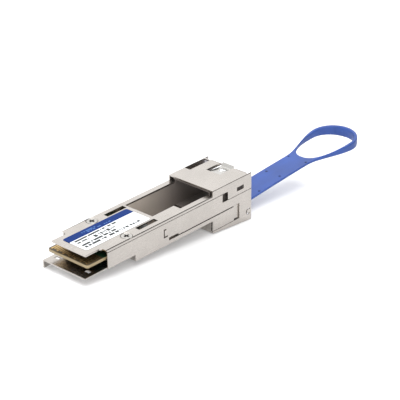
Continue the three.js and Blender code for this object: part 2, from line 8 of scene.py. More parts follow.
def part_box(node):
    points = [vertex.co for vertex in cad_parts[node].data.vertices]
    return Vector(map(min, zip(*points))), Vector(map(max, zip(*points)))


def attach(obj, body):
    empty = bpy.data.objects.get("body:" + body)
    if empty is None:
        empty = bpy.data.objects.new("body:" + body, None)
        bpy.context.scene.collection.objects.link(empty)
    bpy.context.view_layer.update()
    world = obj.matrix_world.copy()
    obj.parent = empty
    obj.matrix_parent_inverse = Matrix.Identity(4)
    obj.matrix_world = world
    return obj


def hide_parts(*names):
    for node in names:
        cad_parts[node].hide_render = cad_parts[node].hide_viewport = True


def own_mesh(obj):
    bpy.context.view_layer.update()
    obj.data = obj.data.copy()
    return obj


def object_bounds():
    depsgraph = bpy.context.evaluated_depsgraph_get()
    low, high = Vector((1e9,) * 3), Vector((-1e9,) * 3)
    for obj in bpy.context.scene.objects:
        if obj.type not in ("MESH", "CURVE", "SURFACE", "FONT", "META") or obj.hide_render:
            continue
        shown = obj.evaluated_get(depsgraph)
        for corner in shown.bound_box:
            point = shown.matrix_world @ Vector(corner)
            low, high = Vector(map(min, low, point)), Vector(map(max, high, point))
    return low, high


# The looks of a QSFP-size port adapter: nickel-plated sheet parts, a card-edge board, a printed
# label and a blue pull tab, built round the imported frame. Metres, in the frame's own axes.

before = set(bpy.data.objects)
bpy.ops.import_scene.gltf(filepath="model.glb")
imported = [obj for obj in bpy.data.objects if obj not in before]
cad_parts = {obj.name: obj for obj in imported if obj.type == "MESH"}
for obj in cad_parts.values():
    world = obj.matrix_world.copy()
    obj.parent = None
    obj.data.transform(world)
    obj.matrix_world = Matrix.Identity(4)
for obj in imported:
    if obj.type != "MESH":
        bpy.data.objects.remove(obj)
cad_low, cad_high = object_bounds()

MM = 0.001
SIDES = ("left", "right")
WELD = 0.002 * MM
COPLANAR = math.radians(0.6)

# ---------------------------------------------------------------- node materials


class Shader:
    """A node material round one principled surface, fed input by input."""

    def __init__(self, name):
        self.material = bpy.data.materials.new(name)
        self.material.use_nodes = True
        self.tree = self.material.node_tree
        self.surface = self.tree.nodes["Principled BSDF"]
        self.place = self.add("ShaderNodeTexCoord").outputs["Object"]

    def add(self, kind, **settings):
        node = self.tree.nodes.new(kind)
        for key, value in settings.items():
            setattr(node, key, value)
        return node

    def feed(self, socket, value):
        if isinstance(value, bpy.types.NodeSocket):
            self.tree.links.new(value, socket)
        else:
            socket.default_value = value

    def set(self, **inputs):
        for name, value in inputs.items():
            self.feed(self.surface.inputs[name.replace("_", " ")], value)

    def math(self, operation, *values):
        node = self.add("ShaderNodeMath", operation=operation)
        for socket, value in zip(node.inputs, values):
            self.feed(socket, value)
        return node.outputs[0]

    def axes(self):
        """The three coordinates of the point, in metres."""
        node = self.add("ShaderNodeSeparateXYZ")
        self.feed(node.inputs[0], self.place)
        return node.outputs

    def scaled(self, scale):
        node = self.add("ShaderNodeMapping")
        self.feed(node.inputs["Vector"], self.place)
        self.feed(node.inputs["Scale"], scale)
        return node.outputs[0]

    def noise(self, per_metre, detail=3.0):
        """Cloudy noise with that many features to the metre along each axis."""
        node = self.add("ShaderNodeTexNoise")
        self.feed(node.inputs["Vector"], self.scaled(per_metre))
        self.feed(node.inputs["Scale"], 1.0)
        self.feed(node.inputs["Detail"], detail)
        self.feed(node.inputs["Roughness"], 0.55)
        return node.outputs["Fac"]

    def spread(self, value, low, high, to_low=0.0, to_high=1.0):
        """The value, stretched from low..high to to_low..to_high and held there."""
        node = self.add("ShaderNodeMapRange")
        for socket, number in zip(node.inputs, (value, low, high, to_low, to_high)):
            self.feed(socket, number)
        return node.outputs[0]

    def mix(self, share, first, second):
        node = self.add("ShaderNodeMix", data_type="RGBA")
        self.feed(node.inputs["Factor"], share)
        self.feed(node.inputs[6], first)
        self.feed(node.inputs[7], second)
        return node.outputs[2]

    def bump(self, height, depth, strength, under=None):
        node = self.add("ShaderNodeBump")
        self.feed(node.inputs["Strength"], strength)
        self.feed(node.inputs["Distance"], depth)
        self.feed(node.inputs["Height"], height)
        if under is not None:
            self.feed(node.inputs["Normal"], under)
        return node.outputs[0]

    def inside(self, value, low, high):
        """1 where the value lies between low and high."""
        above = self.math("GREATER_THAN", value, low)
        below = self.math("LESS_THAN", value, high)
        return self.math("MULTIPLY", above, below)


def colour(red, green, blue):
    return (red, green, blue, 1.0)


def rolled_metal(name, tint, roughness, grain, mottle=0.05, metallic=1.0, painted_shade=None):
    """Rolled and plated sheet: fine grain along X, soft clouds in tint and gloss, fine pitting.
    The last argument is (first x, last x, tint): painted shade, the sheet turns to that tint between the
    two places."""
    shader = Shader(name)
    clouds = shader.noise((160, 160, 160), detail=4)
    lines = shader.noise((120, 9000, 9000), detail=2)
    pits = shader.noise((7000, 7000, 7000), detail=1)
    dark = colour(*(channel * (1 - mottle) for channel in tint))
    light = colour(*(min(channel * (1 + mottle), 1) for channel in tint))
    surface = shader.mix(shader.spread(clouds, 0.3, 0.7), dark, light)
    # Painted shade: the sheet darkens along X to the given tint.
    if painted_shade is not None:
        first_x, last_x, deep = painted_shade
        surface = shader.mix(shader.spread(shader.axes()[0], first_x, last_x), surface, colour(*deep))
    shader.set(
        Base_Color=surface,
        Metallic=metallic,
        Roughness=shader.math(
            "ADD",
            shader.spread(clouds, 0.3, 0.7, roughness - 0.03, roughness + 0.04),
            shader.spread(lines, 0.3, 0.7, -0.03, 0.03),
        ),
        Normal=shader.bump(pits, 0.004 * MM, 0.25, shader.bump(lines, 0.006 * MM, grain)),
    )
    return shader.material


def plated_gold():
    shader = Shader("gold_plating")
    clouds = shader.noise((900, 900, 900))
    wipe = shader.noise((300, 6000, 6000), detail=2)
    shader.set(
        # Both tints sit well below bright gold: gold plating darkened as painted shade, for the pads
        # under the cover's tongue.
        Base_Color=shader.mix(clouds, colour(0.50, 0.33, 0.13), colour(0.64, 0.46, 0.22)),
        Metallic=1.0,
        Roughness=shader.spread(wipe, 0.3, 0.7, 0.22, 0.36),
        Normal=shader.bump(wipe, 0.004 * MM, 0.4),
    )
    return shader.material


def circuit_board():
    """Green solder mask with faint tracks and plated vias, bare glass-epoxy at the edges and nose. The
    via holes and the bare nose are darkened as painted shade.
    """
    shader = Shader("circuit_board")
    low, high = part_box("circuit_board")
    x, y, z = shader.axes()
    pitch = 1.1 * MM
    lanes = shader.math("PINGPONG", shader.math("ADD", y, shader.math("MULTIPLY", x, 0.35)), pitch / 2)
    track = shader.inside(lanes, 0.18 * MM, 0.34 * MM)
    routed = shader.spread(shader.noise((260, 420, 0)), 0.47, 0.5)
    vias = shader.add("ShaderNodeTexVoronoi", feature="F1")
    shader.feed(vias.inputs["Vector"], shader.scaled((480, 480, 0)))
    shader.feed(vias.inputs["Scale"], 1.0)
    ring = shader.inside(vias.outputs["Distance"], 0.07, 0.15)
    hole = shader.math("LESS_THAN", vias.outputs["Distance"], 0.07)
    weave = shader.noise((1400, 1400, 200), detail=2)

    mask = shader.mix(weave, colour(0.004, 0.018, 0.008), colour(0.006, 0.026, 0.012))
    mask = shader.mix(shader.math("MULTIPLY", track, routed), mask, colour(0.012, 0.046, 0.020))
    mask = shader.mix(ring, mask, colour(0.55, 0.42, 0.20))
    # Painted shade: each via's hole is painted near black.
    mask = shader.mix(hole, mask, colour(0.006, 0.008, 0.006))
    # The bare nose is a near-black brown: glass-epoxy darkened as painted shade under the cover's
    # tongue.
    bare = shader.mix(weave, colour(0.030, 0.021, 0.010), colour(0.055, 0.038, 0.018))
    nose = shader.math("LESS_THAN", x, low.x + BARE_NOSE_LENGTH)
    plies = shader.spread(shader.noise((300, 300, 14000), detail=1), 0.35, 0.65)
    rim = shader.mix(plies, colour(0.20, 0.145, 0.07), colour(0.34, 0.27, 0.15))
    skin = 0.05 * MM
    core = shader.inside(z, low.z + skin, high.z - skin)
    face = shader.mix(nose, mask, bare)
    shader.set(
        Base_Color=shader.mix(core, face, rim),
        Roughness=shader.spread(weave, 0.3, 0.7, 0.30, 0.42),
        Normal=shader.bump(weave, 0.008 * MM, 0.3),
        Specular_IOR_Level=0.5,
    )
    return shader.material


def moulded(name, tint, roughness, shine=0.5, depth=0.0):
    """Moulded plastic: fine spark-eroded grain and soft flow marks. depth is the share of light
    that goes under the skin."""
    shader = Shader(name)
    grain = shader.noise((5200, 5200, 5200), detail=2)
    flow = shader.noise((90, 220, 220), detail=3)
    dark = colour(*(channel * 0.86 for channel in tint))
    light = colour(*(min(channel * 1.16, 1) for channel in tint))
    shader.set(
        Base_Color=shader.mix(shader.spread(flow, 0.3, 0.7), dark, light),
        Roughness=shader.spread(flow, 0.3, 0.7, roughness - 0.04, roughness + 0.05),
        Normal=shader.bump(grain, GRAIN_DEPTH, 0.5),
        Subsurface_Weight=depth,
        Subsurface_Radius=(0.5, 0.7, 1.0),
        Subsurface_Scale=0.6 * MM,
        Specular_IOR_Level=shine,
    )
    return shader.material


def ceramic_body():
    shader = Shader("ceramic_body")
    speck = shader.noise((9000, 9000, 9000), detail=2)
    shader.set(
        Base_Color=shader.mix(speck, colour(0.24, 0.155, 0.085), colour(0.38, 0.27, 0.16)),
        Roughness=0.55,
        Normal=shader.bump(speck, 0.006 * MM, 0.5),
    )
    return shader.material


def solder_tin():
    shader = Shader("solder_tin")
    clouds = shader.noise((3200, 3200, 3200), detail=2)
    shader.set(
        Base_Color=shader.mix(clouds, colour(0.55, 0.55, 0.53), colour(0.74, 0.74, 0.72)),
        Metallic=1.0,
        Roughness=shader.spread(clouds, 0.3, 0.7, 0.26, 0.42),
        Normal=shader.bump(clouds, 0.02 * MM, 0.4),
    )
    return shader.material


def printed_label():
    """White label stock with a blue band along the left and rows of print. The print is plain
    bars, with no lettering."""
    shader = Shader("printed_label")
    low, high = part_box("label")
    x, y, _ = shader.axes()
    band = shader.math("GREATER_THAN", y, BAND_EDGE_Y)

    def bars(first_x, last_x, middle_y, height, cell, share, seed):
        """A row of bars of uneven length, each cell printed or left blank by chance."""
        step = shader.math("FLOOR", shader.math("DIVIDE", x, cell))
        pick = shader.add("ShaderNodeTexWhiteNoise", noise_dimensions="1D")
        shader.feed(pick.inputs["W"], shader.math("ADD", step, seed))
        printed = shader.math("LESS_THAN", pick.outputs["Value"], share)
        row = shader.inside(y, middle_y - height / 2, middle_y + height / 2)
        span = shader.inside(x, low.x + first_x, low.x + last_x)
        return shader.math("MULTIPLY", printed, shader.math("MULTIPLY", row, span))

    fibre = shader.noise((2600, 2600, 2600), detail=3)
    paper = shader.mix(fibre, colour(0.74, 0.76, 0.78), colour(0.80, 0.82, 0.84))
    blue = shader.mix(fibre, colour(0.002, 0.022, 0.130), colour(0.003, 0.027, 0.152))
    surface = shader.mix(band, paper, blue)
    for index, (first_x, last_x, middle_y, height, share) in enumerate(PRINT_ROWS):
        mark = bars(first_x, last_x, middle_y, height, PRINT_CELL, share, 17.3 * (index + 1))
        surface = shader.mix(mark, surface, colour(0.024, 0.028, 0.028))
    for index, (first_x, last_x, middle_y, height, share) in enumerate(BAND_ROWS):
        mark = bars(first_x, last_x, middle_y, height, BAND_CELL, share, 41.7 * (index + 1))
        surface = shader.mix(mark, surface, colour(0.055, 0.13, 0.33))
    shader.set(
        Base_Color=surface,
        Roughness=shader.spread(fibre, 0.3, 0.7, 0.36, 0.46),
        Normal=shader.bump(fibre, 0.004 * MM, 0.3),
        Specular_IOR_Level=shader.spread(band, 0.0, 1.0, 0.25, 0.06),
    )
    return shader.material


def floor_paint():
    shader = Shader("floor_paint")
    cloud = shader.noise((30, 30, 30), detail=2)
    shader.set(
        Base_Color=shader.mix(cloud, colour(0.74, 0.74, 0.745), colour(0.77, 0.77, 0.775)),
        Roughness=0.38,
        Specular_IOR_Level=0.35,
        Emission_Color=colour(1.0, 1.0, 1.0),
        Emission_Strength=0.14,
    )
    return shader.material


GRAIN_DEPTH = 0.012 * MM
BARE_NOSE_LENGTH = 6.4 * MM

# The label's layout, measured from its front edge and from the middle of the body. A row of
# print is its first x, last x, middle y, height and the share of its cells that are printed.
BAND_EDGE_Y = 1.95 * MM
PRINT_CELL = 0.36 * MM
BAND_CELL = 0.45 * MM
PRINT_ROWS = [
    (1.2 * MM, 18.0 * MM, 1.15 * MM, 0.80 * MM, 0.80),
    (1.2 * MM, 6.0 * MM, -0.10 * MM, 0.70 * MM, 0.72),
    (7.5 * MM, 16.0 * MM, -0.55 * MM, 1.40 * MM, 0.60),
    (1.2 * MM, 16.0 * MM, -2.05 * MM, 0.90 * MM, 0.82),
    (1.2 * MM, 24.0 * MM, -3.35 * MM, 0.95 * MM, 0.80),
]
BAND_ROWS = [
    (6.5 * MM, 12.0 * MM, 3.75 * MM, 0.5 * MM, 0.60),
    (8.0 * MM, 18.5 * MM, 3.05 * MM, 0.5 * MM, 0.55),
]

nickel = rolled_metal("nickel_sheet", (0.475, 0.445, 0.415), 0.25, 0.4)
# Towards the hood the skin of the bay liner turns darker, in place of dark reflections there.
LINER_DARK_FROM = -32 * MM
LINER_DARK_TO = -14 * MM
liner_nickel = rolled_metal(
    "liner_nickel", (0.62, 0.55, 0.48), 0.38, 0.4, metallic=0.3,
    painted_shade=(LINER_DARK_FROM, LINER_DARK_TO, (0.19, 0.165, 0.150)),
)
spring_steel = rolled_metal("spring_steel", (0.50, 0.49, 0.47), 0.24, 0.4)
screw_steel = rolled_metal("screw_steel", (0.46, 0.445, 0.42), 0.25, 0.3, mottle=0.08)
# Dark steel for the standoffs; the screws' cross recesses take it too, as painted shade.
dark_steel_and_shade = rolled_metal("dark_steel_and_shade", (0.085, 0.080, 0.075), 0.4, 0.3, mottle=0.1)
gold = plated_gold()
board_finish = circuit_board()
black_resin = moulded("black_resin", (0.022, 0.022, 0.025), 0.52)
blue_resin = moulded("blue_resin", (0.028, 0.068, 0.262), 0.44, shine=0.32, depth=0.08)
# A darker blue for the strap's ejector marks: painted shade in their pits.
pit_shade_blue = moulded("pit_shade_blue", (0.010, 0.020, 0.075), 0.5, shine=0.2)
ceramic = ceramic_body()
tin = solder_tin()
label_print = printed_label()

# ---------------------------------------------------------------- mesh helpers


def finish_piece(name, mesh, materials, body, replaced=()):
    """Turns a bmesh into a shown piece that rides on its body."""
    data = bpy.data.meshes.new(name)
    mesh.to_mesh(data)
    mesh.free()
    for material in materials:
        data.materials.append(material)
    piece = bpy.data.objects.new(name, data)
    bpy.context.scene.collection.objects.link(piece)
    for polygon in data.polygons:
        polygon.use_smooth = True
    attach(piece, body)
    if replaced:
        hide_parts(*replaced)
    return piece


def apply_modifiers(piece):
    """Bakes the modifiers into the mesh, and keeps the body that the piece rides on."""
    graph = bpy.context.evaluated_depsgraph_get()
    data = bpy.data.meshes.new_from_object(piece.evaluated_get(graph))
    piece.modifiers.clear()
    piece.data = data
    return piece


def weight_normals(piece):
    modifier = piece.modifiers.new("normals", "WEIGHTED_NORMAL")
    modifier.weight = 80
    modifier.keep_sharp = True
    return apply_modifiers(piece)


def block(mesh, low, high, radius, segments=2, material_index=0):
    """Adds a box from corner to corner, with rounded edges, to the mesh."""
    low, high = Vector(low), Vector(high)
    made = bmesh.ops.create_cube(mesh, size=1.0)
    for vertex in made["verts"]:
        vertex.co = Vector(
            (low[i] + high[i]) / 2 + vertex.co[i] * (high[i] - low[i]) for i in range(3)
        )
    edges = list({edge for vertex in made["verts"] for edge in vertex.link_edges})
    faces = {face for vertex in made["verts"] for face in vertex.link_faces}
    rounded = bmesh.ops.bevel(
        mesh, geom=edges, offset=radius, segments=segments, profile=0.5, affect="EDGES"
    )
    faces = {face for face in faces if face.is_valid} | set(rounded["faces"])
    for face in faces:
        face.material_index = material_index


def lathe(mesh, profile, centre, steps):
    """Adds a turned solid about Z: the profile is radius and height, starting and ending on the axis."""
    rings = []
    for radius, height in profile:
        if radius == 0:
            rings.append([mesh.verts.new(centre + Vector((0, 0, height)))])
            continue
        rings.append([
            mesh.verts.new(centre + Vector((
                radius * math.cos(2 * math.pi * step / steps),
                radius * math.sin(2 * math.pi * step / steps),
                height,
            )))
            for step in range(steps)
        ])
    for lower, upper in zip(rings, rings[1:]):
        for step in range(steps):
            following = (step + 1) % steps
            corners = [lower[step % len(lower)], lower[following % len(lower)],
                       upper[following % len(upper)], upper[step % len(upper)]]
            mesh.faces.new(list(dict.fromkeys(corners)))


FLAT = math.cos(COPLANAR)


def flat_regions(mesh):
    """The faces in groups, each a connected set that lies in one plane."""
    seen = set()
    regions = []
    for start in mesh.faces:
        if start in seen:
            continue
        seen.add(start)
        region = [start]
        for face in region:
            for side in face.edges:
                for other in side.link_faces:
                    if other not in seen and other.normal.dot(start.normal) > FLAT:
                        seen.add(other)
                        region.append(other)
        regions.append(region)
    return regions


def square_levels(rim, axis):
    """Where the region's square edges lie along the axis. Chords of round edges are left out."""
    levels = set()
    for side in rim:
        first, second = (vertex.co for vertex in side.verts)
        step = [abs(first[i] - second[i]) for i in range(3)]
        is_square = sum(length > WELD for length in step) == 1
        if is_square and step[axis] < WELD and max(step) > 0.1 * MM:
            levels.add(round(first[axis], 6))
    return sorted(levels)


def square_up(mesh, sheet_thickness):
    """Redraws each flat region as plain cells between its own square edges, so that no face wraps
    round a hole, and marks the regions that are skins: much wider than the sheet is thick."""
    skin = mesh.faces.layers.int.new("skin")
    for region in flat_regions(mesh):
        rim = rim_of(region)
        area = sum(face.calc_area() for face in region)
        perimeter = sum(side.calc_length() for side in rim)
        for face in region:
            face[skin] = int(2 * area / perimeter > 1.15 * sheet_thickness)
        normal = region[0].normal.copy()
        faces = region
        for axis in range(3):
            if abs(normal[axis]) > 0.5:
                continue
            direction = Vector((0, 0, 0))
            direction[axis] = 1
            for level in square_levels(rim_of(faces), axis):
                parts = {}
                for face in faces:
                    for item in (face, *face.edges, *face.verts):
                        parts[item] = None
                cut = bmesh.ops.bisect_plane(
                    mesh, geom=list(parts), dist=0.001 * MM,
                    plane_co=direction * level, plane_no=direction,
                )
                for item in cut["geom_cut"]:
                    if isinstance(item, bmesh.types.BMEdge):
                        item.seam = True
                faces = [item for item in cut["geom"] if isinstance(item, bmesh.types.BMFace)]
    bmesh.ops.dissolve_limit(
        mesh, angle_limit=COPLANAR, verts=mesh.verts, edges=mesh.edges, delimit={"SEAM"}
    )
    return skin


def rim_of(faces):
    """The edges that only one of the faces uses."""
    inner = set(faces)
    return [
        side for face in faces for side in face.edges
        if any(other not in inner for other in side.link_faces)
    ]


def crisp_normals(piece, flat_normals):
    """Flat faces keep their own normal, and a rounded edge turns from one flat face to the next."""
    data = piece.data

    def flat_direction(face):
        for normal in flat_normals:
            if face.normal.dot(normal) > FLAT:
                return normal
        return None

    directions = [flat_direction(face) for face in data.polygons]
    flats = [[] for _ in data.vertices]
    curves = [Vector((0, 0, 0)) for _ in data.vertices]
    for face, direction in zip(data.polygons, directions):
        for index in face.vertices:
            if direction is None:
                curves[index] += face.normal * face.area
            else:
                flats[index].append(direction)
    corner_normals = []
    for face, direction in zip(data.polygons, directions):
        for index in face.vertices:
            normal = direction
            if normal is None and flats[index]:
                normal = max(flats[index], key=face.normal.dot)
            elif normal is None:
                normal = curves[index]
            corner_normals.append(normal.normalized())
    data.normals_split_custom_set(corner_normals)
    return piece


def softened(node, material, body, fold, edge, sheet_thickness):
    """A CAD sheet part with its folds rolled to the fold radius and its cut edges lightly broken."""
    mesh = bmesh.new()
    mesh.from_mesh(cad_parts[node].data)
    bmesh.ops.remove_doubles(mesh, verts=mesh.verts, dist=WELD)
    mesh.normal_update()
    skin = square_up(mesh, sheet_thickness)
    mesh.normal_update()
    wide = [face.normal.copy() for face in mesh.faces if face.calc_area() > 4 * MM * MM]
    level = [Vector(sign * step for step in row) for row in Matrix.Identity(3) for sign in (1, -1)]
    weight = mesh.edges.layers.float.new("bevel_weight_edge")
    for side in mesh.edges:
        if len(side.link_faces) != 2 or side.calc_face_angle(0) < math.radians(25):
            continue
        folded = side.is_convex and all(face[skin] for face in side.link_faces)
        side[weight] = 1.0 if folded else edge / fold
    piece = finish_piece(node + "_finish", mesh, [material], body, [node])
    bevel = piece.modifiers.new("rolled", "BEVEL")
    bevel.limit_method = "WEIGHT"
    bevel.width = fold
    bevel.segments = 3
    bevel.use_clamp_overlap = False
    apply_modifiers(piece)
    return crisp_normals(piece, level + wide)


def mesh_of_curve(name, curve):
    """The curve's surface as a bmesh. The curve object itself isn't kept."""
    holder = bpy.data.objects.new(name, curve)
    bpy.context.scene.collection.objects.link(holder)
    graph = bpy.context.evaluated_depsgraph_get()
    data = bpy.data.meshes.new_from_object(holder.evaluated_get(graph))
    mesh = bmesh.new()
    mesh.from_mesh(data)
    bpy.data.objects.remove(holder)
    bmesh.ops.remove_doubles(mesh, verts=mesh.verts, dist=WELD)
    return mesh


def flat_outline(name, outlines, thickness, edge_radius):
    """A mesh of a flat plate with rounded edges: the first outline is its rim, the rest are holes."""
    curve = bpy.data.curves.new(name, "CURVE")
    curve.dimensions = "2D"
    curve.fill_mode = "BOTH"
    curve.extrude = thickness / 2 - edge_radius
    curve.bevel_depth = edge_radius
    curve.bevel_resolution = 3
    curve.offset = -edge_radius
    for outline in outlines:
        spline = curve.splines.new("POLY")
        spline.points.add(len(outline) - 1)
        for point, (x, y) in zip(spline.points, outline):
            point.co = (x, y, 0, 1)
        spline.use_cyclic_u = True
    return mesh_of_curve(name, curve)


def slice_along_x(mesh, first, last, step):
    """Cuts the mesh by planes across X, so that it can bend smoothly along its length."""
    count = int((last - first) / step)
    for index in range(1, count):
        bmesh.ops.bisect_plane(
            mesh,
            geom=list(mesh.verts) + list(mesh.edges) + list(mesh.faces),
            plane_co=(first + index * step, 0, 0),
            plane_no=(1, 0, 0),
            dist=0.0005 * MM,
        )


def rounded_rectangle(low_x, high_x, low_y, high_y, corner, steps):
    rim = []
    for centre_x, centre_y, start in (
        (high_x - corner, high_y - corner, 0),
        (low_x + corner, high_y - corner, 90),
        (low_x + corner, low_y + corner, 180),
        (high_x - corner, low_y + corner, 270),
    ):
        for step in range(steps + 1):
            angle = math.radians(start + 90 * step / steps)
            rim.append((centre_x + corner * math.cos(angle), centre_y + corner * math.sin(angle)))
    return rim


def smooth_step(share):
    share = min(max(share, 0.0), 1.0)
    return share * share * (3 - 2 * share)


# ---------------------------------------------------------------- sheet parts

SHEET = 0.4 * MM
NOSE_SHEET = 0.35 * MM
COVER_SHEET = 0.5 * MM
LINER_SHEET = 0.3 * MM
BODY_FOLD = 0.22 * MM
BODY_EDGE = 0.05 * MM
FINE_EDGE = 0.04 * MM

for node, sheet in (("upper_cover", COVER_SHEET), ("lower_shell", SHEET), ("nose_plate", NOSE_SHEET)):
    softened(node, nickel, "chassis", BODY_FOLD, BODY_EDGE, sheet)
softened("cage_liner", liner_nickel, "chassis", 0.15 * MM, FINE_EDGE, LINER_SHEET)
softened("release_slider", nickel, "slider", 0.12 * MM, FINE_EDGE, SHEET)


def latch_tongue():
    """The sprung tongue: one smooth dip from its root to a lip that is turned up at the end."""
    low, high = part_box("latch_tongue")
    length = high.x - low.x
    rim = rounded_rectangle(low.x, high.x, -high.y, high.y, 0.35 * MM, 4)
    apex_x = low.x + 2.4 * MM
    base_x = low.x + 5.2 * MM
    half_base = 1.35 * MM
    catch = [(apex_x, 0), (base_x, -half_base), (base_x, half_base)]
    mesh = flat_outline("tongue", [rim, catch], 0.3 * MM, 0.06 * MM)
    slice_along_x(mesh, low.x, high.x, 0.25 * MM)
    root_z = high.z - 1.05 * MM
    for vertex in mesh.verts:
        share = (vertex.co.x - low.x) / length
        dip = -0.38 * MM * smooth_step(share / 0.8)
        lip = 1.12 * MM * smooth_step((share - 0.84) / 0.16)
        vertex.co.z += root_z + 0.15 * MM + dip + lip
    piece = finish_piece(
        "latch_tongue_finish", mesh, [spring_steel], "latch", ["latch_tongue"]
    )
    return weight_normals(piece)


latch_tongue()

# ---------------------------------------------------------------- circuit board


def board():
    mesh = bmesh.new()
    mesh.from_mesh(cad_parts["circuit_board"].data)
    bmesh.ops.remove_doubles(mesh, verts=mesh.verts, dist=WELD)
    bmesh.ops.dissolve_limit(
        mesh, angle_limit=COPLANAR, verts=mesh.verts, edges=mesh.edges
    )
    piece = finish_piece("circuit_board_finish", mesh, [board_finish], "chassis",
                         ["circuit_board"])
    bevel = piece.modifiers.new("routed", "BEVEL")
    bevel.width = 0.08 * MM
    bevel.segments = 2
    bevel.limit_method = "ANGLE"
    bevel.angle_limit = math.radians(40)
    bevel.harden_normals = True
    return apply_modifiers(piece)


def edge_pads(node):
    """The 19 gold pads of one side of the nose, every third one longer, as on a hot-plug edge."""
    low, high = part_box(node)
    count = 19
    pitch = 0.8 * MM
    width = 0.54 * MM
    mesh = bmesh.new()
    for index in range(count):
        y = (index - (count - 1) / 2) * pitch
        front = low.x + (0.5 * MM if index % 3 else 0.0)
        block(mesh, (front, y - width / 2, low.z), (high.x, y + width / 2, high.z), 0.012 * MM)
    return finish_piece(node + "_finish", mesh, [gold], "chassis", [node])


def bowed_contacts(node, upwards):
    """The receptacle's ten spring contacts: thin leaves that bow into the slot and curl at the tip."""
    low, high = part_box(node)
    count = 10
    pitch = 0.8 * MM
    width = 0.42 * MM
    steps = 14
    half_sheet = 0.06 * MM
    root_z = (low.z + high.z) / 2
    mesh = bmesh.new()
    for index in range(count):
        y = (index - (count - 1) / 2) * pitch
        rows = []
        for step in range(steps + 1):
            share = step / steps
            x = low.x + (high.x - low.x) * share
            bow = 0.32 * MM * math.sin(math.pi * min(share / 0.85, 1.0)) ** 1.5
            curl = 0.12 * MM * smooth_step((share - 0.85) / 0.15)
            z = root_z + (bow - curl) * (1 if upwards else -1)
            rows.append([
                mesh.verts.new((x, y + side * width / 2, z + level * half_sheet))
                for side, level in ((-1, -1), (1, -1), (1, 1), (-1, 1))
            ])
        for near, far in zip(rows, rows[1:]):
            for corner in range(4):
                following = (corner + 1) % 4
                mesh.faces.new((near[corner], far[corner], far[following], near[following]))
        mesh.faces.new(rows[0])
        mesh.faces.new(list(reversed(rows[-1])))
    piece = finish_piece(node + "_finish", mesh, [gold], "chassis", [node])
    return weight_normals(piece)


def chip(node, leads_per_side):
    """A leadless chip: a matt body with a dimple at pin 1 and plated lands along its four sides."""
    low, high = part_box(node)
    middle = (low + high) / 2
    mesh = bmesh.new()
    rise = 0.05 * MM
    block(mesh, (low.x, low.y, low.z + rise), high, 0.05 * MM)
    span = high.y - low.y
    pitch = span / (leads_per_side + 1)
    reach = 0.02 * MM
    land_length = 0.12 * MM
    land_height = 0.18 * MM
    for index in range(leads_per_side):
        offset = (index - (leads_per_side - 1) / 2) * pitch
        half = pitch * 0.28
        for along, across in ((0, 1), (1, 0)):
            outer = Vector((high.x - middle.x, high.y - middle.y, 0))
            place = Vector((middle.x + offset * across, middle.y + offset * along, 0))
            for sign in (-1, 1):
                edge_x = place.x + sign * outer.x * along
                edge_y = place.y + sign * outer.y * across
                size_x = half if across else land_length
                size_y = half if along else land_length
                half_x = size_x + reach * along
                half_y = size_y + reach * across
                block(
                    mesh,
                    (edge_x - half_x, edge_y - half_y, low.z),
                    (edge_x + half_x, edge_y + half_y, low.z + land_height),
                    0.01 * MM, 1, 1,
                )
    dimple = Vector((low.x + span * 0.16, low.y + span * 0.16, high.z))
    dish = [(0, -0.01 * MM), (0.16 * MM, 0.004 * MM), (0.2 * MM, 0), (0, -0.03 * MM)]
    lathe(mesh, dish, dimple, 20)
    return finish_piece(node + "_finish", mesh, [black_resin, tin], "chassis", [node])


def ended_component(node, body_material, long_axis):
    """A small chip component: a body between two tinned end caps."""
    low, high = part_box(node)
    size = high - low
    cap = size[long_axis] * 0.26
    inset = 0.02 * MM
    mesh = bmesh.new()
    body_low, body_high = low.copy(), high.copy()
    body_low[long_axis] += cap * 0.6
    body_high[long_axis] -= cap * 0.6
    for axis in range(2):
        if axis != long_axis:
            body_low[axis] += inset
            body_high[axis] -= inset
    body_high.z -= inset
    block(mesh, body_low, body_high, 0.03 * MM)
    for sign in (0, 1):
        cap_low, cap_high = low.copy(), high.copy()
        if sign == 0:
            cap_high[long_axis] = low[long_axis] + cap
        else:
            cap_low[long_axis] = high[long_axis] - cap
        block(mesh, cap_low, cap_high, 0.06 * MM, 3, 1)
    return finish_piece(node + "_finish", mesh, [body_material, tin], "chassis", [node])


board()
edge_pads("edge_contacts_top")
edge_pads("edge_contacts_bottom")
bowed_contacts("receptacle_contacts_upper", upwards=False)
bowed_contacts("receptacle_contacts_lower", upwards=True)
softened("sfp_receptacle", black_resin, "chassis", 0.15 * MM, 0.06 * MM, 0.2 * MM)
chip("controller_chip", 8)
chip("memory_chip", 5)
for number in range(1, 7):
    ended_component(f"capacitor_{number}", ceramic, 0)
for number in range(1, 5):
    ended_component(f"resistor_{number}", black_resin, 1)

# ---------------------------------------------------------------- screws, standoffs and label


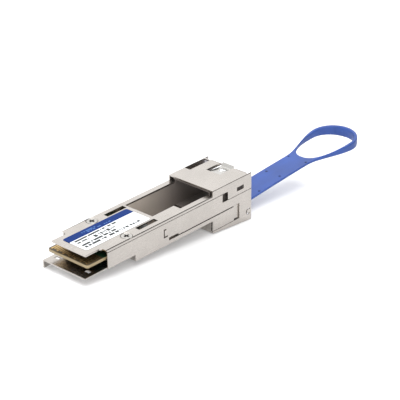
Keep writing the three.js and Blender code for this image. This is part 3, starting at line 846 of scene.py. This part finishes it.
def screw(name):
    """A countersunk cross-head screw with a rolled rim and a tapering cross recess, whose walls are
    painted dark as shade.
    """
    low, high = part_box(name)
    centre = Vector(((low.x + high.x) / 2, (low.y + high.y) / 2, high.z))
    radius = (high.x - low.x) / 2
    depth = high.z - low.z
    shaft = 0.8 * MM
    head = 0.45 * MM
    rim = 0.06 * MM
    profile = [
        (0, -depth),
        (shaft, -depth),
        (shaft, -head),
        (radius * 0.8, -head),
        (radius - rim / 3, -rim),
        (radius - rim, 0),
        (radius * 0.8, 0.0),
        (0, 0.0),
    ]
    mesh = bmesh.new()
    lathe(mesh, profile, centre, 64)
    bmesh.ops.recalc_face_normals(mesh, faces=mesh.faces)
    piece = finish_piece(name + "_finish", mesh, [screw_steel], "chassis", [name])

    cutter_mesh = bmesh.new()
    top = 0.3 * MM
    bottom = -0.9 * MM
    for turn in (0, 90):
        made = bmesh.ops.create_cube(cutter_mesh, size=1.0)
        for vertex in made["verts"]:
            at_top = vertex.co.z > 0
            reach = (1.14 if at_top else 0.50) * MM
            half = (0.31 if at_top else 0.20) * MM
            x, y = vertex.co.x * 2 * reach, vertex.co.y * 2 * half
            spin = math.radians(turn)
            vertex.co = centre + Vector((
                x * math.cos(spin) - y * math.sin(spin),
                x * math.sin(spin) + y * math.cos(spin),
                top if at_top else bottom,
            ))
    data = bpy.data.meshes.new("cutter")
    cutter_mesh.to_mesh(data)
    cutter_mesh.free()
    # The cutter's dark material goes onto the recess walls: painted shade in the cross recess.
    data.materials.append(dark_steel_and_shade)
    cutter = bpy.data.objects.new("cutter", data)
    bpy.context.scene.collection.objects.link(cutter)
    cross = piece.modifiers.new("cross", "BOOLEAN")
    cross.operation = "DIFFERENCE"
    cross.solver = "EXACT"
    cross.material_mode = "TRANSFER"
    cross.use_self = True
    cross.object = cutter
    worn = piece.modifiers.new("worn", "BEVEL")
    worn.width = 0.03 * MM
    worn.segments = 2
    worn.limit_method = "ANGLE"
    worn.angle_limit = math.radians(35)
    worn.harden_normals = True
    apply_modifiers(piece)
    bpy.data.objects.remove(cutter)
    return piece


for side in SIDES:
    screw(f"screw_{side}")
    softened(
        f"standoff_{side}", dark_steel_and_shade, "chassis", 0.1 * MM, BODY_EDGE, 0.2 * MM
    )
    softened(
        f"spring_stop_{side}", nickel, "chassis", BODY_EDGE, FINE_EDGE, 0.5 * MM
    )


def label():
    """The label: thin stock with rounded corners, laid flat on the cover."""
    low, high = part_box("label")
    rim = rounded_rectangle(low.x, high.x, low.y, high.y, 0.7 * MM, 8)
    mesh = flat_outline("label_stock", [rim], high.z - low.z, 0.015 * MM)
    for vertex in mesh.verts:
        vertex.co.z += (low.z + high.z) / 2
    piece = finish_piece("label_finish", mesh, [label_print], "chassis", ["label"])
    return weight_normals(piece)


label()

# ---------------------------------------------------------------- springs and pin


def return_spring(name):
    """A compression spring with closed end turns."""
    low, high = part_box(name)
    middle = (low + high) / 2
    wire = 0.1 * MM
    radius = (high.y - low.y) / 2 - wire
    turns = 9
    steps_per_turn = 24
    curve = bpy.data.curves.new(name, "CURVE")
    curve.dimensions = "3D"
    curve.bevel_depth = wire
    curve.bevel_resolution = 4
    curve.use_fill_caps = True
    spline = curve.splines.new("POLY")
    total = turns * steps_per_turn
    spline.points.add(total)
    run = high.x - low.x - 2 * wire
    closed = 1.0 / turns
    for step in range(total + 1):
        share = step / total
        pitch_share = min(max((share - closed) / (1 - 2 * closed), 0.0), 1.0)
        lead = 2 * wire * (min(share / closed, 1.0) + max((share - 1 + closed) / closed, 0.0))
        x = low.x + wire + lead + (run - 4 * wire) * pitch_share
        angle = 2 * math.pi * turns * share
        spline.points[step].co = (
            x,
            middle.y + radius * math.cos(angle),
            middle.z + radius * math.sin(angle),
            1,
        )
    mesh = mesh_of_curve(name + "_wire", curve)
    piece = finish_piece(name + "_finish", mesh, [spring_steel], "chassis", [name])
    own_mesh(piece)
    return piece


for side in SIDES:
    return_spring(f"return_spring_{side}")


def tab_pin():
    low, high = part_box("tab_pin")
    radius = (high.x - low.x) / 2
    half = (high.y - low.y) / 2
    chamfer = 0.12 * MM
    mesh = bmesh.new()
    profile = [(0, -half), (radius - chamfer, -half), (radius, chamfer - half),
               (radius, half - chamfer), (radius - chamfer, half), (0, half)]
    lathe(mesh, profile, Vector((0, 0, 0)), 48)
    turn = Matrix.Rotation(math.radians(-90), 4, "X")
    bmesh.ops.transform(mesh, matrix=turn, verts=mesh.verts)
    bmesh.ops.translate(mesh, vec=(low + high) / 2, verts=mesh.verts)
    bmesh.ops.recalc_face_normals(mesh, faces=mesh.faces)
    piece = finish_piece("tab_pin_finish", mesh, [spring_steel], "slider", ["tab_pin"])
    return weight_normals(piece)


tab_pin()

# ---------------------------------------------------------------- pull tab

tab_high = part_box("pull_tab")[1]
pin_low, pin_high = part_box("tab_pin")
PIN_X = (pin_low.x + pin_high.x) / 2
PIN_Z = (pin_low.z + pin_high.z) / 2
BODY_REAR_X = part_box("lower_shell")[1].x

STRAP_HALF_WIDTH = 4.6 * MM
STRAP_THICKNESS = 0.75 * MM
LOOP_TIP_HEIGHT = 3.55 * MM
LOOP_BAND = 1.2 * MM
LOOP_HALF_WIDTH = tab_high.y
FLARE_X = tab_high.x - 28.4 * MM
HOLE_X = tab_high.x - 25.1 * MM
WIDEST_X = tab_high.x - 8.3 * MM
HOLE_FULLNESS = 0.82
STRAP_ROOT_Z = 2.93 * MM
STRAP_RISE = 0.0943
STRAP_SAG = 0.0005 / MM


def strap_z(x):
    reach = x - BODY_REAR_X
    return STRAP_ROOT_Z + STRAP_RISE * reach - STRAP_SAG * reach * reach


def strap_height(x):
    share = min(max((x - HOLE_X) / (tab_high.x - HOLE_X), 0.0), 1.0)
    return STRAP_THICKNESS + (LOOP_TIP_HEIGHT - STRAP_THICKNESS) * share


def both_sides(upper):
    """The whole outline, from the points of its left half."""
    lower = [(x, -y) for x, y in reversed(upper) if y > 0.001 * MM]
    return upper + lower


def tab_rim():
    upper = []
    straight = 60
    for step in range(straight + 1):
        x = PIN_X + (WIDEST_X - PIN_X) * step / straight
        flare = smooth_step((x - FLARE_X) / (WIDEST_X - FLARE_X))
        upper.append((x, STRAP_HALF_WIDTH + (LOOP_HALF_WIDTH - STRAP_HALF_WIDTH) * flare))
    tip = 32
    for step in range(1, tip + 1):
        angle = math.pi / 2 * step / tip
        upper.append((
            WIDEST_X + (tab_high.x - WIDEST_X) * math.sin(angle),
            LOOP_HALF_WIDTH * math.cos(angle),
        ))
    return both_sides(upper)


def tab_hole():
    inner = LOOP_HALF_WIDTH - LOOP_BAND
    upper = []
    steps = 36
    for step in range(steps + 1):
        angle = math.pi / 2 * step / steps
        upper.append((
            WIDEST_X - (WIDEST_X - HOLE_X) * math.cos(angle),
            inner * math.sin(angle) ** HOLE_FULLNESS,
        ))
    reach = tab_high.x - LOOP_BAND - WIDEST_X
    for step in range(1, steps + 1):
        angle = math.pi / 2 * step / steps
        upper.append((WIDEST_X + reach * math.sin(angle), inner * math.cos(angle)))
    return both_sides(upper)


def pull_tab():
    """The moulded strap and finger loop, bent along the strap's arc, with a barrel at the pin."""
    mesh = flat_outline("strap", [tab_rim(), tab_hole()], STRAP_THICKNESS, 0.2 * MM)
    slice_along_x(mesh, PIN_X, tab_high.x, 1.0 * MM)
    for vertex in mesh.verts:
        grow = strap_height(vertex.co.x) / STRAP_THICKNESS
        vertex.co.z = strap_z(vertex.co.x) + vertex.co.z * grow
    piece = finish_piece("pull_tab_finish", mesh, [blue_resin], "tab", ["pull_tab"])
    weight_normals(piece)

    barrel = bmesh.new()
    inner = 0.65 * MM
    outer = 1.2 * MM
    edge = 0.15 * MM
    half = STRAP_HALF_WIDTH
    ring = [(inner, -half), (outer - edge, -half), (outer, edge - half),
            (outer, half - edge), (outer - edge, half), (inner, half)]
    steps = 48
    loops = []
    for step in range(steps):
        angle = 2 * math.pi * step / steps
        loops.append([
            barrel.verts.new((PIN_X + r * math.cos(angle), y, PIN_Z + r * math.sin(angle)))
            for r, y in ring
        ])
    for step in range(steps):
        near, far = loops[step], loops[(step + 1) % steps]
        for corner in range(len(ring)):
            following = (corner + 1) % len(ring)
            barrel.faces.new((near[corner], near[following], far[following], far[corner]))
    bmesh.ops.recalc_face_normals(barrel, faces=barrel.faces)
    weight_normals(finish_piece("pull_tab_barrel", barrel, [blue_resin], "tab"))


def ejector_marks():
    """Pairs of small round marks that the mould's ejector pins leave on the strap's upper face, coloured
    a darker blue as painted shade in the pits.
    """
    mesh = bmesh.new()
    radius = 0.42 * MM
    rise = 0.06 * MM
    for distance, offset in ((10.5, 3.7), (22.0, 2.8), (34.6, 3.7)):
        x = BODY_REAR_X + distance * MM
        top = strap_z(x) + strap_height(x) / 2
        profile = [(0, -rise), (radius, -rise), (radius, rise * 0.6), (radius * 0.8, rise),
                   (radius * 0.55, rise * 0.2), (0, rise * 0.1)]
        for sign in (1, -1):
            lathe(mesh, profile, Vector((x, sign * offset * MM, top)), 24)
    bmesh.ops.recalc_face_normals(mesh, faces=mesh.faces)
    weight_normals(finish_piece("pull_tab_marks", mesh, [pit_shade_blue], "tab"))


pull_tab()
ejector_marks()

# ---------------------------------------------------------------- stage, light and camera


def floor():
    """A pale floor just under the two lines that the module rests on: its nose leg and rear edge."""
    nose_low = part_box("nose_plate")[0]
    rear_z = cad_low.z
    slope = (rear_z - nose_low.z) / (BODY_REAR_X - nose_low.x)
    mesh = bmesh.new()
    reach = 3.0
    corners = [(-reach, -reach), (reach, -reach), (reach, reach), (-reach, reach)]
    drop = 0.05 * MM
    mesh.faces.new([
        mesh.verts.new((x, y, rear_z - drop + slope * (x - BODY_REAR_X))) for x, y in corners
    ])
    data = bpy.data.meshes.new("floor")
    mesh.to_mesh(data)
    mesh.free()
    data.materials.append(floor_paint())
    plane = bpy.data.objects.new("floor", data)
    bpy.context.scene.collection.objects.link(plane)


def softbox(name, direction, distance, size, power):
    """A square soft light that faces the point that the camera looks at."""
    data = bpy.data.lights.new(name, "AREA")
    data.shape = "SQUARE"
    data.size = size
    data.energy = power
    lamp = bpy.data.objects.new(name, data)
    lamp.location = AIM + Vector(direction).normalized() * distance
    lamp.rotation_mode = "QUATERNION"
    lamp.rotation_quaternion = (AIM - lamp.location).to_track_quat("-Z", "Y")
    bpy.context.scene.collection.objects.link(lamp)


def world_light(strength, lit_side, unlit_side):
    """A white room: brighter towards one side and dim towards another."""
    world = bpy.data.worlds.new("studio")
    world.use_nodes = True
    tree = world.node_tree
    place = tree.nodes.new("ShaderNodeTexCoord").outputs["Generated"]

    def towards(direction, start, end, gain):
        """gain in that direction, falling to 1 at the angle whose cosine is start."""
        product = tree.nodes.new("ShaderNodeVectorMath")
        product.operation = "DOT_PRODUCT"
        product.inputs[1].default_value = Vector(direction).normalized()
        tree.links.new(place, product.inputs[0])
        share = tree.nodes.new("ShaderNodeMapRange")
        share.interpolation_type = "SMOOTHSTEP"
        tree.links.new(product.outputs["Value"], share.inputs["Value"])
        for name, number in (("From Min", start), ("From Max", end), ("To Min", 1.0), ("To Max", gain)):
            share.inputs[name].default_value = number
        return share.outputs["Result"]

    both = tree.nodes.new("ShaderNodeMath")
    both.operation = "MULTIPLY"
    tree.links.new(towards(*lit_side), both.inputs[0])
    tree.links.new(towards(*unlit_side), both.inputs[1])
    level = tree.nodes.new("ShaderNodeMath")
    level.operation = "MULTIPLY"
    tree.links.new(both.outputs[0], level.inputs[0])
    level.inputs[1].default_value = strength
    tree.nodes["Background"].inputs["Color"].default_value = (1, 1, 1, 1)
    tree.links.new(level.outputs[0], tree.nodes["Background"].inputs["Strength"])
    bpy.context.scene.world = world


def camera():
    """Looks from the front right and above, with a long lens, at a point near the middle."""
    data = bpy.data.cameras.new("camera")
    data.sensor_width = 36
    data.lens = 135
    data.clip_start = 0.01
    data.clip_end = 20
    viewer = bpy.data.objects.new("camera", data)
    bpy.context.scene.collection.objects.link(viewer)
    azimuth = math.radians(CAMERA_AZIMUTH)
    elevation = math.radians(CAMERA_ELEVATION)
    back = Vector((
        math.sin(azimuth) * math.cos(elevation),
        -math.cos(azimuth) * math.cos(elevation),
        math.sin(elevation),
    ))
    viewer.location = AIM + back * CAMERA_DISTANCE
    viewer.rotation_mode = "QUATERNION"
    level = (-back).to_track_quat("-Z", "Y")
    roll = Matrix.Rotation(math.radians(CAMERA_ROLL), 4, "Z").to_quaternion()
    viewer.rotation_quaternion = level @ roll
    bpy.context.scene.camera = viewer


AIM = Vector((-8.85 * MM, 0, 8.92 * MM))
CAMERA_AZIMUTH = -47.87
CAMERA_ELEVATION = 26.41
CAMERA_ROLL = -0.48
CAMERA_DISTANCE = 467.9 * MM

floor()
world_light(
    1.15,
    lit_side=((0.66, 0.75, 0.35), 0.55, 0.95, 1.28),
    unlit_side=((0.66, -0.50, 0.50), 0.72, 0.90, 0.06),
)
softbox("key", (-0.05, -0.05, 1.0), 0.7, 0.7, 4.6)
softbox("fill", (-0.6, -1.0, 0.7), 0.8, 0.6, 2.6)
camera()
bpy.context.scene.view_settings.view_transform = "Standard"
